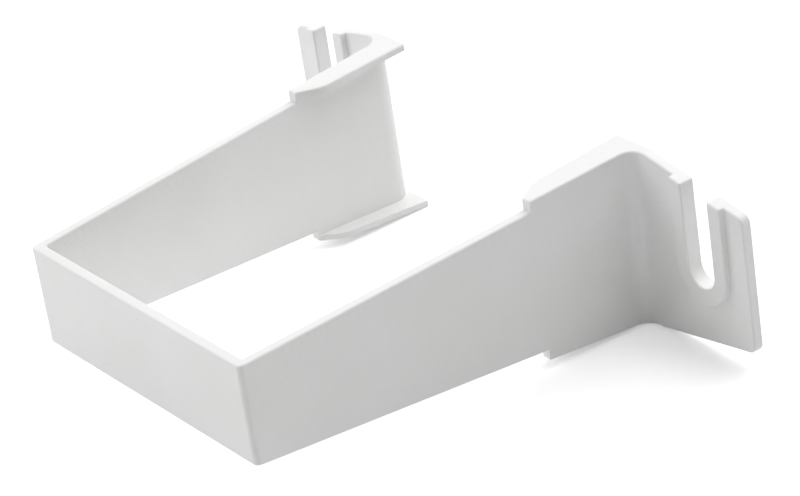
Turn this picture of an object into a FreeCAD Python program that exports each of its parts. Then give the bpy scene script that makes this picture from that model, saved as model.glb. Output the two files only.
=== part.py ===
"""Downpipe clip: one moulded band that holds a square pipe off a wall.

Millimetres. The wall is the plane y = 0 and the clip stands out from it towards -Y. X runs from ear to
ear, Z is up, and the origin lies on the wall, midway between the two screw slots at mid-height.
"""
import FreeCAD, Part
import math
import os
import Sketcher

Vector = FreeCAD.Vector

# Driving dimensions: name, size, what it is
SIZES = [
    ("pipe_side", "65", "side of the square pipe"),
    ("pipe_clearance", "0.5", "play between the pipe and the arms, both sides together"),
    ("wall", "2.2", "thickness of the strap and the arms"),
    ("projection", "89.3", "wall to the front face of the strap"),
    ("front_height", "20.5", "height of the strap"),
    ("rear_height", "36.9", "height of the arms where they meet the wall"),
    ("arm_spread", "4.25", "how much further out each arm stands at the wall than at the strap"),
    ("corner_radius", "1.2", "outside of the strap's corners"),
    ("inner_corner_radius", "0.6", "inside of the strap's corners"),
    ("nose_lead", "3.2", "how far ahead of the pipe's back the ledges start"),
    ("nose_length", "4.8", "length of the slope that leads in to each ledge"),
    ("nose_radius", "6.0", "rounding where that slope ends"),
    ("step_height", "2.15", "how far the arms step up and down at the ledges"),
    ("ledge_thickness", "1.4", "thickness of the ledges"),
    ("ear_thickness", "2.0", "thickness of the ears"),
    ("ear_reach", "68.8", "middle of the clip to the end of an ear"),
    ("ear_top_fall", "5.25", "how far an ear's upper edge comes down to its end"),
    ("ear_foot_rise", "3.85", "how far an ear's lower edge comes up to its end"),
    ("ear_corner_radius", "1.8", "corners at the end of an ear"),
    ("bend_radius", "3.0", "fold from arm to ear, in front"),
    ("back_radius", "5.0", "fold from arm to ear, on the wall side"),
    ("slot_spacing", "114.5", "middle of one screw slot to the other"),
    ("slot_width", "6.9", "width of a screw slot"),
    ("slot_drop", "0.9", "centre of a slot's round end below mid-height"),
    ("rim_width", "3.3", "width of the raised rim beside a slot"),
    ("rim_height", "1.2", "how far the rim stands out from the ear"),
    ("edge_radius", "0.4", "rounding of the outer edges"),
]

# Places worked out from the driving dimensions: name, formula
PLACES = [
    # The band seen from above
    ("inner_half", "(dims.pipe_side + dims.pipe_clearance) / 2"),
    ("front_y", "-dims.projection"),
    ("strap_back_y", "dims.wall - dims.projection"),
    ("ear_front_y", "-dims.ear_thickness"),
    ("arm_slope", "dims.arm_spread / (dims.projection - dims.wall)"),
    ("arm_across", "dims.wall * sqrt(1 + arm_slope ^ 2)"),
    ("arm_inner_wall_x", "inner_half + dims.arm_spread"),
    ("arm_outer_front_x", "inner_half - arm_slope * dims.wall + arm_across"),
    ("arm_outer_ear_x", "arm_inner_wall_x - arm_slope * dims.ear_thickness + arm_across"),
    # The ledges seen from above, with an edge buried in the arm and the ear
    ("step_y", "strap_back_y + dims.pipe_side - dims.nose_lead"),
    ("nose_y", "step_y + dims.nose_length"),
    ("arm_inner_step_x", "inner_half + arm_slope * (step_y - strap_back_y)"),
    ("ledge_root_step_x", "arm_inner_step_x + arm_across / 2"),
    ("fold_y", "-dims.back_radius"),
    ("ledge_root_fold_x", "arm_inner_wall_x - arm_slope * dims.back_radius + arm_across / 2"),
    ("ledge_root_wall_x", "arm_inner_wall_x + dims.back_radius"),
    # The upper edges seen from the side
    ("front_half", "dims.front_height / 2"),
    ("rear_half", "dims.rear_height / 2"),
    ("edge_slope", "(rear_half - dims.step_height - front_half) / dims.projection"),
    ("step_low", "front_half + edge_slope * (step_y - front_y)"),
    ("step_high", "step_low + dims.step_height"),
    ("gap_front", "front_half + dims.step_height - dims.ledge_thickness"),
    ("gap_rear", "rear_half - dims.ledge_thickness"),
    ("blank_half", "rear_half + dims.wall"),
    # An ear, its slot and the rim seen from the front
    ("ear_root_x", "arm_outer_ear_x + dims.bend_radius"),
    ("ear_slope", "dims.ear_top_fall / (dims.ear_reach - ear_root_x)"),
    ("ear_end_top", "rear_half - dims.ear_top_fall"),
    ("rear_foot", "-rear_half"),
    ("ear_end_foot", "rear_foot + dims.ear_foot_rise"),
    ("blank_foot", "-blank_half"),
    ("slot_x", "dims.slot_spacing / 2"),
    ("slot_z", "-dims.slot_drop"),
    ("slot_radius", "dims.slot_width / 2"),
    ("rim_radius", "slot_radius + dims.rim_width"),
    ("rim_stand", "dims.ear_thickness + dims.rim_height"),
    ("rim_top_inner", "rear_half - ear_slope * (slot_x - rim_radius - ear_root_x)"),
    ("rim_top_outer", "rear_half - ear_slope * (slot_x + rim_radius - ear_root_x)"),
]

# A sketch's numbers for a curve's start, end and centre, and for its two axes
START, END, CENTRE = range(1, 4)
AXIS_ACROSS, AXIS_UP = range(-1, -3, -1)

# A face looks one way when its normal is within this angle of it, in radians
FACING = 0.45
# Faces whose normals differ by less than this angle, in radians, meet smoothly
SMOOTH = 0.5
# A step off the surface that is small beside every radius
PROBE = 0.001
# Two volumes match when they differ by less than this share
VOLUME_MATCH = 1e-4

doc = FreeCAD.newDocument("downpipe_clip")


def make_sheet(name, rows):
    """A sheet with one aliased cell for each row."""
    sheet = doc.addObject("Spreadsheet::Sheet", name)
    for row, (alias, content) in enumerate(rows, start=1):
        sheet.set(f"A{row}", alias)
        sheet.set(f"B{row}", content)
        sheet.setAlias(f"B{row}", alias)
    doc.recompute()
    return sheet


dims = make_sheet("dims", [(alias, text) for alias, text, _ in SIZES])
places = make_sheet("places", [(alias, "=" + formula) for alias, formula in PLACES])
driving = {alias for alias, _, _ in SIZES}


def cell(alias):
    """The expression that names a cell of either sheet."""
    return f"dims.{alias}" if alias in driving else f"places.{alias}"


def value(alias):
    """The present number in a cell of either sheet."""
    sheet = dims if alias in driving else places
    return float(sheet.get(alias))


body = doc.addObject("PartDesign::Body", "downpipe_clip")
body.Label = "downpipe_clip"
body.Placement = FreeCAD.Placement()


def origin_plane(role):
    """One of the body's own origin planes."""
    return next(feature for feature in body.Origin.OriginFeatures if feature.Role == role)


def new_sketch(name, role):
    """An empty sketch on one of the body's origin planes."""
    sketch = body.newObject("Sketcher::SketchObject", name)
    sketch.AttachmentSupport = [(origin_plane(role), "")]
    sketch.MapMode = "FlatFace"
    return sketch


def hold(sketch, corner, across, alias):
    """Hold a sketch's corner on an axis, or at a cell's distance from the origin along one."""
    if alias == "zero":
        axis = AXIS_UP if across else AXIS_ACROSS
        sketch.addConstraint(Sketcher.Constraint("PointOnObject", *corner, axis))
        return
    kind = "DistanceX" if across else "DistanceY"
    origin = (AXIS_ACROSS, START)
    index = sketch.addConstraint(Sketcher.Constraint(kind, *origin, *corner, value(alias)))
    sketch.setExpression(f"Constraints[{index}]", cell(alias))


def hold_radius(sketch, arc, alias):
    """Give a sketch's arc a cell's radius."""
    index = sketch.addConstraint(Sketcher.Constraint("Radius", arc, value(alias)))
    sketch.setExpression(f"Constraints[{index}]", cell(alias))


def outline_sketch(name, role, corners):
    """A closed outline on an origin plane, through corners named by cells: across, up, radius.

    A corner with a radius becomes a tangent arc, and its sharp point stays to be measured from.
    """
    sketch = new_sketch(name, role)
    points = []
    for across, up, _ in corners:
        points.append(Vector(*[0 if alias == "zero" else value(alias) for alias in (across, up)], 0))
    radii = [value(radius) if radius else 0 for _, _, radius in corners]
    count = len(corners)
    incoming = [(points[i] - points[i - 1]).normalize() for i in range(count)]
    outgoing = [incoming[(i + 1) % count] for i in range(count)]
    cuts = [radii[i] * math.tan(incoming[i].getAngle(outgoing[i]) / 2) for i in range(count)]
    starts = [points[i] + outgoing[i] * cuts[i] for i in range(count)]
    ends = [points[i] - incoming[i] * cuts[i] for i in range(count)]
    for i in range(count):
        sketch.addGeometry(Part.LineSegment(starts[i], ends[(i + 1) % count]))
    for i, (across, up, radius) in enumerate(corners):
        before = (i - 1) % count
        corner = (i, START)
        if radius:
            left = incoming[i].cross(outgoing[i]).z > 0
            inward = Vector(-incoming[i].y, incoming[i].x, 0) * (1 if left else -1)
            centre = ends[i] + inward * radii[i]
            first, last = (ends[i], starts[i]) if left else (starts[i], ends[i])
            angles = [math.atan2(p.y - centre.y, p.x - centre.x) for p in (first, last)]
            circle = Part.Circle(centre, Vector(0, 0, 1), radii[i])
            arc = sketch.addGeometry(Part.ArcOfCircle(circle, *angles))
            arc_in, arc_out = (START, END) if left else (END, START)
            sketch.addConstraint(Sketcher.Constraint("Tangent", before, END, arc, arc_in))
            sketch.addConstraint(Sketcher.Constraint("Tangent", arc, arc_out, i, START))
            hold_radius(sketch, arc, radius)
            corner = (sketch.addGeometry(Part.Point(points[i]), True), START)
            sketch.addConstraint(Sketcher.Constraint("PointOnObject", *corner, before))
            sketch.addConstraint(Sketcher.Constraint("PointOnObject", *corner, i))
        else:
            sketch.addConstraint(Sketcher.Constraint("Coincident", before, END, i, START))
        hold(sketch, corner, True, across)
        hold(sketch, corner, False, up)
    doc.recompute()
    return sketch


def slot_sketch(name, radius, top_inner, top_outer):
    """An upright outline with a round lower end, about the middle of the right ear's screw slot."""
    sketch = new_sketch(name, "XZ_Plane")
    centre = Vector(value("slot_x"), value("slot_z"), 0)
    reach = Vector(value(radius), 0, 0)
    inner_high = Vector(centre.x - reach.x, value(top_inner), 0)
    outer_high = Vector(centre.x + reach.x, value(top_outer), 0)
    inner_side = sketch.addGeometry(Part.LineSegment(inner_high, centre - reach))
    circle = Part.Circle(centre, Vector(0, 0, 1), reach.x)
    arc = sketch.addGeometry(Part.ArcOfCircle(circle, math.pi, 2 * math.pi))
    outer_side = sketch.addGeometry(Part.LineSegment(centre + reach, outer_high))
    top = sketch.addGeometry(Part.LineSegment(outer_high, inner_high))
    sketch.addConstraint(Sketcher.Constraint("Tangent", inner_side, END, arc, START))
    sketch.addConstraint(Sketcher.Constraint("Tangent", arc, END, outer_side, START))
    sketch.addConstraint(Sketcher.Constraint("Coincident", outer_side, END, top, START))
    sketch.addConstraint(Sketcher.Constraint("Coincident", top, END, inner_side, START))
    sketch.addConstraint(Sketcher.Constraint("Vertical", inner_side))
    sketch.addConstraint(Sketcher.Constraint("Vertical", outer_side))
    hold_radius(sketch, arc, radius)
    hold(sketch, (arc, CENTRE), True, "slot_x")
    hold(sketch, (arc, CENTRE), False, "slot_z")
    hold(sketch, (inner_side, START), False, top_inner)
    hold(sketch, (outer_side, END), False, top_outer)
    doc.recompute()
    return sketch


def pad(name, sketch, length):
    """Add the sketch's outline, extruded by a cell's length."""
    feature = body.newObject("PartDesign::Pad", name)
    feature.Profile = sketch
    feature.setExpression("Length", cell(length))
    doc.recompute()


def cut_through(name, sketch):
    """Cut the sketch's outline away through the whole body, both ways."""
    volume_before = body.Shape.Volume
    feature = body.newObject("PartDesign::Pocket", name)
    feature.Profile = sketch
    feature.Type = "ThroughAll"
    feature.Midplane = True
    doc.recompute()
    if not body.Shape.Volume < volume_before:
        raise RuntimeError(f"{name} cut nothing")


def mirror_whole(name, role):
    """Join the body to its mirror image in an origin plane."""
    volume_before = body.Shape.Volume
    feature = body.newObject("PartDesign::Mirrored", name)
    feature.TransformMode = "Whole shape"
    feature.MirrorPlane = (origin_plane(role), [""])
    feature.Refine = True
    body.Tip = feature
    doc.recompute()
    if not math.isclose(body.Shape.Volume, 2 * volume_before, rel_tol=VOLUME_MATCH):
        raise RuntimeError(f"{name} doesn't meet its mirror image")


def round_edges(name, radius, test):
    """Round the body's edges that pass a test, to a cell's radius."""
    edges = [f"Edge{i}" for i, edge in enumerate(body.Shape.Edges, start=1) if test(edge)]
    base = body.Tip
    feature = body.newObject("PartDesign::Fillet", name)
    feature.Base = (base, edges)
    feature.setExpression("Radius", cell(radius))
    doc.recompute()


def is_ear_corner(edge):
    """Whether an edge runs through the ear at one of its end's corners."""
    box = edge.BoundBox
    return math.isclose(box.XMin, value("ear_reach")) and math.isclose(box.YLength, value("ear_thickness"))


def is_moulded_edge(edge):
    """Whether an edge is an outward corner of the upper or lower faces, or of an ear's or a rim's front.

    The edges against the wall stay sharp, and so do the ledges' inner ones.
    """
    box = edge.BoundBox
    if box.XMax < PROBE or box.YMin > -PROBE:
        return False
    middle = edge.valueAt((edge.FirstParameter + edge.LastParameter) / 2)
    faces = body.Shape.ancestorsOfType(edge, Part.Face)
    first, second = [face.normalAt(*face.Surface.parameter(middle)) for face in faces]
    if first.getAngle(second) < SMOOTH or body.Shape.isInside(middle + (first - second) * PROBE, 0, False):
        return False
    outward = [normal.z * math.copysign(1, middle.z) for normal in (first, second)]
    facing = math.cos(FACING)
    on_ear_front = middle.x > value("ear_root_x") and min(first.y, second.y) < -facing
    return min(outward) > -facing and (max(outward) > facing or on_ear_front)


# Upper ledge of the right arm: its plan, with the space between the two ledges cut out of it
ledge_plan = outline_sketch("ledge_plan", "XY_Plane", [
    ("inner_half", "zero", None),
    ("inner_half", "nose_y", "nose_radius"),
    ("arm_inner_step_x", "step_y", None),
    ("ledge_root_step_x", "step_y", None),
    ("ledge_root_fold_x", "fold_y", None),
    ("ledge_root_wall_x", "zero", None),
])
pad("ledge_blank", ledge_plan, "blank_half")
ledge_gap = outline_sketch("ledge_gap_side", "YZ_Plane", [
    ("front_y", "zero", None),
    ("zero", "zero", None),
    ("zero", "gap_rear", None),
    ("front_y", "gap_front", None),
])
cut_through("ledge_gap", ledge_gap)

# Half of the strap, the right arm and its ear, as one folded band
band_plan = outline_sketch("band_plan", "XY_Plane", [
    ("zero", "front_y", None),
    ("arm_outer_front_x", "front_y", "corner_radius"),
    ("arm_outer_ear_x", "ear_front_y", "bend_radius"),
    ("ear_reach", "ear_front_y", None),
    ("ear_reach", "zero", None),
    ("arm_inner_wall_x", "zero", "back_radius"),
    ("inner_half", "strap_back_y", "inner_corner_radius"),
    ("zero", "strap_back_y", None),
])
pad("band", band_plan, "blank_half")

# The upper edge: it rises from strap to wall, with a step where the ledges start
arm_edge = outline_sketch("arm_edge_side", "YZ_Plane", [
    ("front_y", "front_half", None),
    ("step_y", "step_low", None),
    ("step_y", "step_high", None),
    ("zero", "rear_half", None),
    ("zero", "blank_half", None),
    ("front_y", "blank_half", None),
])
cut_through("arm_edge", arm_edge)

# The lower half is the upper one's mirror image, up to the ear
mirror_whole("lower_half", "XY_Plane")

# The ear narrows towards its end, more from above than from below
for side, root, end, blank in (
    ("upper", "rear_half", "ear_end_top", "blank_half"),
    ("lower", "rear_foot", "ear_end_foot", "blank_foot"),
):
    ear_edge = outline_sketch(f"{side}_ear_front", "XZ_Plane", [
        ("ear_root_x", root, None),
        ("ear_reach", end, None),
        ("ear_reach", blank, None),
        ("ear_root_x", blank, None),
    ])
    cut_through(f"{side}_ear_edge", ear_edge)
round_edges("ear_corners", "ear_corner_radius", is_ear_corner)

# Raised rim round the screw slot, level with the ear's upper edge, and the slot through both
rim_front = slot_sketch("rim_front", "rim_radius", "rim_top_inner", "rim_top_outer")
pad("rim", rim_front, "rim_stand")
slot_front = slot_sketch("slot_front", "slot_radius", "blank_half", "blank_half")
cut_through("slot", slot_front)

# The mould leaves the outer edges slightly round, and the left half is the right one's mirror image
round_edges("moulded_edges", "edge_radius", is_moulded_edge)
mirror_whole("left_half", "YZ_Plane")

for thing in doc.Objects:
    if "Invalid" in thing.State or "Error" in thing.State:
        raise RuntimeError(f"{thing.Name} failed: {thing.State}")
for sketch in doc.findObjects("Sketcher::SketchObject"):
    if not sketch.FullyConstrained:
        raise RuntimeError(f"{sketch.Name} isn't fully constrained")
if body.Shape.isNull() or not body.Shape.isValid() or len(body.Shape.Solids) != 1:
    raise RuntimeError("the clip isn't one valid solid")

os.makedirs("parts", exist_ok=True)
body.Shape.exportStep(f"parts/{body.Label}.step")
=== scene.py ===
"""Looks of the downpipe clip: white moulded plastic on a white floor, seen as in the photograph.

Metres, in the part's own frame: the wall is y = 0, the strap is at -Y, X runs from ear to ear and
Z is up.
"""
import math

import bpy
from mathutils import Matrix, Vector


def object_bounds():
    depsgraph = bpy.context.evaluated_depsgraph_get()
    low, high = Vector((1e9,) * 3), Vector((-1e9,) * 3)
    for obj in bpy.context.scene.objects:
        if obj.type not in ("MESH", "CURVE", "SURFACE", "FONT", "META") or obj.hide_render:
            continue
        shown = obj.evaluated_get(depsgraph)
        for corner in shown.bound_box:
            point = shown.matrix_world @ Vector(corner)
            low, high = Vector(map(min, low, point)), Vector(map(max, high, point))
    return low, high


MM = 0.001
UP = Vector((0.0, 0.0, 1.0))
WHITE = (1.0, 1.0, 1.0, 1.0)

# The photograph's camera: the point it looks at, the side it stands on, and how far it leans
CAMERA_AIM_MM = (6.10, -33.73, -0.10)
CAMERA_AZIMUTH_DEG = 56.97
CAMERA_ELEVATION_DEG = 27.78
CAMERA_ROLL_DEG = -8.97
CAMERA_DISTANCE_MM = 639.7
CAMERA_LENS_MM = 152.27
SENSOR_WIDTH_MM = 36.0

# Soft boxes: name, azimuth and elevation of the side they stand on in degrees, distance from the
# lit point and width in metres, power in watts
SOFT_BOXES = [
    ("front_left", 315.0, 35.0, 1.2, 1.0, 7.3),
    ("back", 180.0, 50.0, 1.2, 1.6, 10.2),
    ("high_right", 145.0, 65.0, 1.2, 1.2, 6.3),
    ("front", 0.0, 35.0, 1.2, 1.0, 0.9),
    ("front_right", 45.0, 35.0, 1.2, 1.0, 0.9),
    ("back_left", 225.0, 35.0, 1.2, 1.0, 1.4),
]
LIT_POINT_MM = (0.0, -45.0, 0.0)

# Floor: to the eye it also glows, weakly near the clip, where its shadow falls, and as much as
# plain white further out
FLOOR_HALF_WIDTH = 4.0
FLOOR_CLEARANCE_MM = 0.05
FLOOR_COLOUR = (0.95, 0.95, 0.95, 1.0)
FLOOR_NEAR_GLOW = 0.32
FLOOR_NEAR_REACH = 0.15
FLOOR_FAR_GLOW = 1.0
FLOOR_FAR_REACH = 0.6

# White plastic: its dull and clean whites and its gloss, which vary in patches of these sizes
PLASTIC_IOR = 1.53
PLASTIC_DULL = (0.866, 0.866, 0.858, 1.0)
PLASTIC_CLEAN = (0.893, 0.893, 0.89, 1.0)
TINT_SIZE_MM = 24.0
TINT_DETAIL = 3.0
ROUGHNESS_LOW = 0.3
ROUGHNESS_HIGH = 0.46
GLOSS_SIZE_MM = 5.0
GLOSS_DETAIL = 4.0

# Its skin's unevenness, each kind laid over the one before: name, size of the lumps and depth in mm
SKIN_BUMPS = [
    ("waves", 16.0, 0.4),
    ("orange_peel", 1.1, 0.06),
    ("grain", 0.3, 0.012),
]
BUMP_DETAIL = 1.0

# The band that a noise's values mostly lie in
NOISE_LOW = 0.3
NOISE_HIGH = 0.7

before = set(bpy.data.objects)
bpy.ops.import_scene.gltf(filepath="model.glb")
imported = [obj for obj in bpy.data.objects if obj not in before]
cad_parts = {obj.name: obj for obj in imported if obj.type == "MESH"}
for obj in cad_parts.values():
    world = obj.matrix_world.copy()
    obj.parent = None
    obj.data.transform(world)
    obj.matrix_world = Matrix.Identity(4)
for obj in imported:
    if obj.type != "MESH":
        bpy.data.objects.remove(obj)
cad_box = [list(corner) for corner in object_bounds()]


def direction(azimuth_deg, elevation_deg):
    """The unit vector towards a side of the object: azimuth 0 is its front, 90 its right."""
    azimuth = math.radians(azimuth_deg)
    elevation = math.radians(elevation_deg)
    level = math.cos(elevation)
    return Vector((math.sin(azimuth) * level, -math.cos(azimuth) * level, math.sin(elevation)))


def add_camera():
    """The photograph's camera."""
    back = direction(CAMERA_AZIMUTH_DEG, CAMERA_ELEVATION_DEG)
    right = UP.cross(back).normalized()
    up = back.cross(right)
    roll = math.radians(CAMERA_ROLL_DEG)
    across = right * math.cos(roll) + up * math.sin(roll)
    upward = up * math.cos(roll) - right * math.sin(roll)
    data = bpy.data.cameras.new("camera")
    data.sensor_width = SENSOR_WIDTH_MM
    data.lens = CAMERA_LENS_MM
    camera = bpy.data.objects.new("camera", data)
    place = (Vector(CAMERA_AIM_MM) + back * CAMERA_DISTANCE_MM) * MM
    turned = Matrix((across, upward, back)).transposed().to_4x4()
    camera.matrix_world = Matrix.Translation(place) @ turned
    bpy.context.scene.collection.objects.link(camera)
    bpy.context.scene.camera = camera


def add_soft_box(name, azimuth_deg, elevation_deg, distance, width, power):
    """A square area lamp that faces the clip."""
    data = bpy.data.lights.new(name, "AREA")
    data.size = width
    data.energy = power
    lamp = bpy.data.objects.new(name, data)
    towards = direction(azimuth_deg, elevation_deg)
    lamp.location = Vector(LIT_POINT_MM) * MM + towards * distance
    lamp.rotation_mode = "QUATERNION"
    lamp.rotation_quaternion = (-towards).to_track_quat("-Z", "Y")
    bpy.context.scene.collection.objects.link(lamp)


def backdrop_rays(tree):
    """A socket that is 1 for rays that show the backdrop: the camera's, reflected or refracted."""
    path = tree.nodes.new("ShaderNodeLightPath")
    total = path.outputs["Is Camera Ray"]
    for name in ("Is Glossy Ray", "Is Transmission Ray"):
        either = tree.nodes.new("ShaderNodeMath")
        either.operation = "MAXIMUM"
        tree.links.new(total, either.inputs[0])
        tree.links.new(path.outputs[name], either.inputs[1])
        total = either.outputs["Value"]
    return total


def add_world():
    """A white surround, which is seen and reflected but doesn't light the clip."""
    world = bpy.data.worlds.new("surround")
    bpy.context.scene.world = world
    world.use_nodes = True
    tree = world.node_tree
    background = tree.nodes["Background"]
    background.inputs["Color"].default_value = WHITE
    tree.links.new(backdrop_rays(tree), background.inputs["Strength"])


def floor_material():
    """A matt white floor that looks white where no shadow falls on it."""
    material = bpy.data.materials.new("floor")
    material.use_nodes = True
    tree = material.node_tree
    tree.nodes.clear()

    place = tree.nodes.new("ShaderNodeTexCoord").outputs["Object"]
    reach = tree.nodes.new("ShaderNodeVectorMath")
    reach.operation = "LENGTH"
    tree.links.new(place, reach.inputs[0])
    fade = tree.nodes.new("ShaderNodeMapRange")
    fade.inputs["From Min"].default_value = FLOOR_NEAR_REACH
    fade.inputs["From Max"].default_value = FLOOR_FAR_REACH
    fade.inputs["To Min"].default_value = FLOOR_NEAR_GLOW
    fade.inputs["To Max"].default_value = FLOOR_FAR_GLOW
    tree.links.new(reach.outputs["Value"], fade.inputs["Value"])
    strength = tree.nodes.new("ShaderNodeMath")
    strength.operation = "MULTIPLY"
    tree.links.new(backdrop_rays(tree), strength.inputs[0])
    tree.links.new(fade.outputs["Result"], strength.inputs[1])

    glow = tree.nodes.new("ShaderNodeEmission")
    tree.links.new(strength.outputs["Value"], glow.inputs["Strength"])
    diffuse = tree.nodes.new("ShaderNodeBsdfDiffuse")
    diffuse.inputs["Color"].default_value = FLOOR_COLOUR
    both = tree.nodes.new("ShaderNodeAddShader")
    tree.links.new(diffuse.outputs["BSDF"], both.inputs[0])
    tree.links.new(glow.outputs["Emission"], both.inputs[1])
    output = tree.nodes.new("ShaderNodeOutputMaterial")
    tree.links.new(both.outputs["Shader"], output.inputs["Surface"])
    return material


def add_floor(height):
    """A square floor at a height, about the part's origin."""
    half = FLOOR_HALF_WIDTH
    plan = [(-half, -half), (half, -half), (half, half), (-half, half)]
    corners = [(x, y, height) for x, y in plan]
    mesh = bpy.data.meshes.new("floor")
    mesh.from_pydata(corners, [], [range(len(corners))])
    floor = bpy.data.objects.new("floor", mesh)
    floor.data.materials.append(floor_material())
    bpy.context.scene.collection.objects.link(floor)


def add_noise(tree, place, lump_mm, detail):
    """A noise whose lumps are about the given size."""
    noise = tree.nodes.new("ShaderNodeTexNoise")
    noise.inputs["Scale"].default_value = 1.0 / (lump_mm * MM)
    noise.inputs["Detail"].default_value = detail
    tree.links.new(place, noise.inputs["Vector"])
    return noise.outputs["Fac"]


def add_range(tree, noise, low, high):
    """The noise, spread between two values."""
    spread = tree.nodes.new("ShaderNodeMapRange")
    spread.inputs["From Min"].default_value = NOISE_LOW
    spread.inputs["From Max"].default_value = NOISE_HIGH
    spread.inputs["To Min"].default_value = low
    spread.inputs["To Max"].default_value = high
    tree.links.new(noise, spread.inputs["Value"])
    return spread.outputs["Result"]


def add_skin_bumps(tree, place):
    """The normal of the plastic's skin, with all its unevenness."""
    normal = None
    for name, lump_mm, depth_mm in SKIN_BUMPS:
        bump = tree.nodes.new("ShaderNodeBump")
        bump.label = name
        bump.inputs["Strength"].default_value = 1.0
        bump.inputs["Distance"].default_value = depth_mm * MM
        tree.links.new(add_noise(tree, place, lump_mm, BUMP_DETAIL), bump.inputs["Height"])
        if normal is not None:
            tree.links.new(normal, bump.inputs["Normal"])
        normal = bump.outputs["Normal"]
    return normal


def plastic_material():
    """White moulded plastic: a satin skin that is faintly wavy, with a fine orange peel on it."""
    material = bpy.data.materials.new("white_plastic")
    material.use_nodes = True
    tree = material.node_tree
    skin = tree.nodes["Principled BSDF"]
    skin.inputs["IOR"].default_value = PLASTIC_IOR
    place = tree.nodes.new("ShaderNodeTexCoord").outputs["Object"]

    patches = add_noise(tree, place, TINT_SIZE_MM, TINT_DETAIL)
    tint = tree.nodes.new("ShaderNodeMix")
    tint.data_type = "RGBA"
    tint.inputs["A"].default_value = PLASTIC_DULL
    tint.inputs["B"].default_value = PLASTIC_CLEAN
    tree.links.new(add_range(tree, patches, 0.0, 1.0), tint.inputs["Factor"])
    tree.links.new(tint.outputs["Result"], skin.inputs["Base Color"])

    smudges = add_noise(tree, place, GLOSS_SIZE_MM, GLOSS_DETAIL)
    roughness = add_range(tree, smudges, ROUGHNESS_LOW, ROUGHNESS_HIGH)
    tree.links.new(roughness, skin.inputs["Roughness"])

    tree.links.new(add_skin_bumps(tree, place), skin.inputs["Normal"])
    return material


bpy.context.scene.view_settings.view_transform = "Standard"
add_camera()
add_world()
for soft_box in SOFT_BOXES:
    add_soft_box(*soft_box)
foot = min(corner[2] for corner in cad_box)
add_floor(foot - FLOOR_CLEARANCE_MM * MM)

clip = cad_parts["downpipe_clip"]
clip.data.materials.clear()
clip.data.materials.append(plastic_material())
